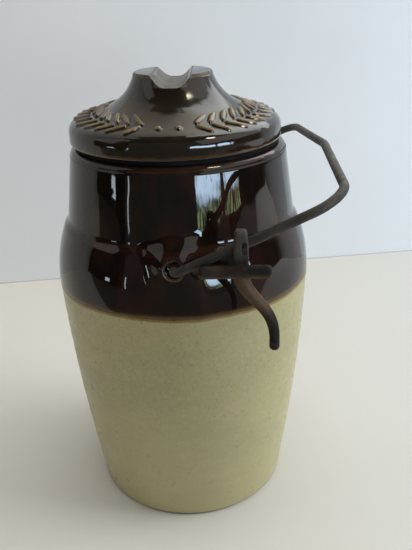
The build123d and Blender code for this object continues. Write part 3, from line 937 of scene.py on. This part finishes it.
dim_wall = Shader("dim_wall").finish(Base_Color=(0.035, 0.031, 0.028, 1), Roughness=1.0)
front_wall = Shader("front_wall_light").finish(Base_Color=(0.035, 0.031, 0.028, 1), Roughness=1.0,
                                               Emission_Color=(1.0, 0.98, 0.92, 1), Emission_Strength=0.11)
for name, *line, wall in (("front_wall", -room_side, room_front, room_side, room_front, front_wall),
                          ("left_wall", -room_side, room_back, -room_side, room_front, dim_wall),
                          ("right_wall", room_side, room_front, room_side, room_back, dim_wall)):
    card(name, upright(*line, room_floor, room_top), wall, "glossy")
card("dim_ceiling", level(-room_side, room_front, room_side, 0.2, room_top), dim_wall, "glossy")
card("dim_floor", level(-room_side, room_front, room_side, -0.6, room_floor), dim_wall, "glossy")
garden = garden_view("window_view")
card("near_pane", upright(0.571, -1.707, 1.250, -1.295, -0.02, 0.34), garden, "glossy")
card("far_pane", upright(1.327, -1.216, 1.604, -0.817, -0.02, 0.36), garden, "glossy")
slit = glow("side_slit", (0.80, 0.90, 1.0), 8.0)
card("first_slit", upright(-1.875, -0.81, -1.81, -0.95, -0.03, 0.045), slit, "glossy")
card("second_slit", upright(-1.50, -1.34, -1.475, -1.365, -0.10, 0.19), slit, "glossy")
# Apart from the lamp, the glowing sheets below are met only by the glaze's reflections and are no lamps:
# painted reflections of the lit ends of the backdrop, the lit upper walls and the lit upper backdrop.
card("left_sheen", upright(-1.25, -0.09, -0.60, 0.10, 0.0, 0.50),
     side_sheen("left_sheen_light", (1.0, 0.99, 0.97), -1.25, -0.80, 0.34, 0.50), "glossy")
card("right_sheen", upright(0.30, 0.262, 1.28, 0.205, 0.0, 0.50),
     side_sheen("right_sheen_light", (0.93, 0.96, 1.0), 1.28, 0.70, 0.26, 0.62), "glossy")
lamp = glow("ceiling_lamp", (1.0, 0.93, 0.70), 26.0)
card("lamp", [(0.56, -0.42, 1.40), (0.78, -0.42, 1.40), (0.78, -0.20, 1.54), (0.56, -0.20, 1.54)],
     lamp, "glossy")
card("left_upper_wall", upright(-1.28, -0.64, -1.28, 0.05, 0.55, 2.2),
     glow("left_wall_light", (1.0, 0.97, 0.92), 0.65), "glossy")
card("right_upper_wall", upright(0.90, -1.56, 1.28, 0.43, 0.60, 2.2),
     glow("right_wall_light", (1.0, 0.98, 0.94), 0.95), "glossy")
shade = Shader("backdrop_sheen")
cooler = shade.ramp(shade.axis("X"), 0.0, 0.13)
shade.finish(Base_Color=(0, 0, 0, 1), Emission_Color=shade.blend(cooler, (1.0, 0.91, 0.76), (0.98, 1.0, 1.0)),
             Emission_Strength=shade.ramp(shade.axis("X"), -0.06, 0.15, 0.60, 3.1))
card("dark_beam", [(-0.16, -0.10, 0.60), (0.03, -0.10, 0.60), (0.03, 0.18, 0.60), (-0.16, 0.16, 0.60)],
     dim_wall, "glossy")
card("upper_backdrop_sheen", upright(-0.25, 0.155, 0.60, 0.28, 0.30, 1.1), shade.material, "glossy")


def area_light(name, place, target, width, height, power, colour):
    """Soft light that brightens matt surfaces without being mirrored in the glaze."""
    light = bpy.data.lights.new(name, "AREA")
    light.shape = "RECTANGLE"
    light.size, light.size_y = width, height
    light.energy = power
    light.color = colour
    made = bpy.data.objects.new(name, light)
    bpy.context.scene.collection.objects.link(made)
    made.location = place
    made.visible_glossy = False
    made.rotation_mode = "QUATERNION"
    made.rotation_quaternion = (Vector(target) - Vector(place)).to_track_quat("-Z", "Y")


area_light("window_light", (0.80, -1.35, 0.16), (0, 0, 0.06), 1.4, 0.3, 4.1, (0.92, 0.97, 1.0))
area_light("right_light", (1.25, -0.02, 0.70), (0, 0, 0.08), 0.8, 0.8, 15.4, (0.87, 0.93, 1.0))
area_light("left_light", (-1.05, 0.0, 0.45), (0, 0, 0.08), 0.6, 0.6, 1.6, (1.0, 0.92, 0.74))
area_light("ceiling_light", (0.1, 0.05, 1.6), (0.05, 0.15, 0.1), 1.2, 1.2, 15.0, (0.98, 0.985, 1.0))

world = bpy.data.worlds.new("room")
bpy.context.scene.world = world
world.use_nodes = True
room = world.node_tree
soft = room.nodes["Background"]
soft.inputs[0].default_value = (0.62, 0.66, 0.70, 1)
soft.inputs[1].default_value = 0.18
plain = room.nodes.new("ShaderNodeBackground")
plain.inputs[0].default_value = (0.64, 0.68, 0.71, 1)
plain.inputs[1].default_value = 1.0
ray = room.nodes.new("ShaderNodeLightPath")
pick = room.nodes.new("ShaderNodeMixShader")
room.links.new(ray.outputs["Is Camera Ray"], pick.inputs[0])
room.links.new(soft.outputs[0], pick.inputs[1])
room.links.new(plain.outputs[0], pick.inputs[2])
room.links.new(pick.outputs[0], room.nodes["World Output"].inputs["Surface"])

camera_data = bpy.data.cameras.new("camera")
camera_data.sensor_width = 36
camera_data.lens = 42.03
camera_data.clip_start = 0.01
camera = bpy.data.objects.new("camera", camera_data)
bpy.context.scene.collection.objects.link(camera)
view_right = (0.99937, 0.01962, -0.02949)
view_up = (0.01857, 0.41865, 0.90796)
view_back = (0.03016, -0.90793, 0.41803)
view_from = (0.018731, -0.26637, 0.223488)
facing = Matrix((view_right, view_up, view_back)).transposed().to_4x4()
camera.matrix_world = Matrix.Translation(view_from) @ facing
bpy.context.scene.camera = camera
bpy.context.scene.view_settings.view_transform = "Standard"
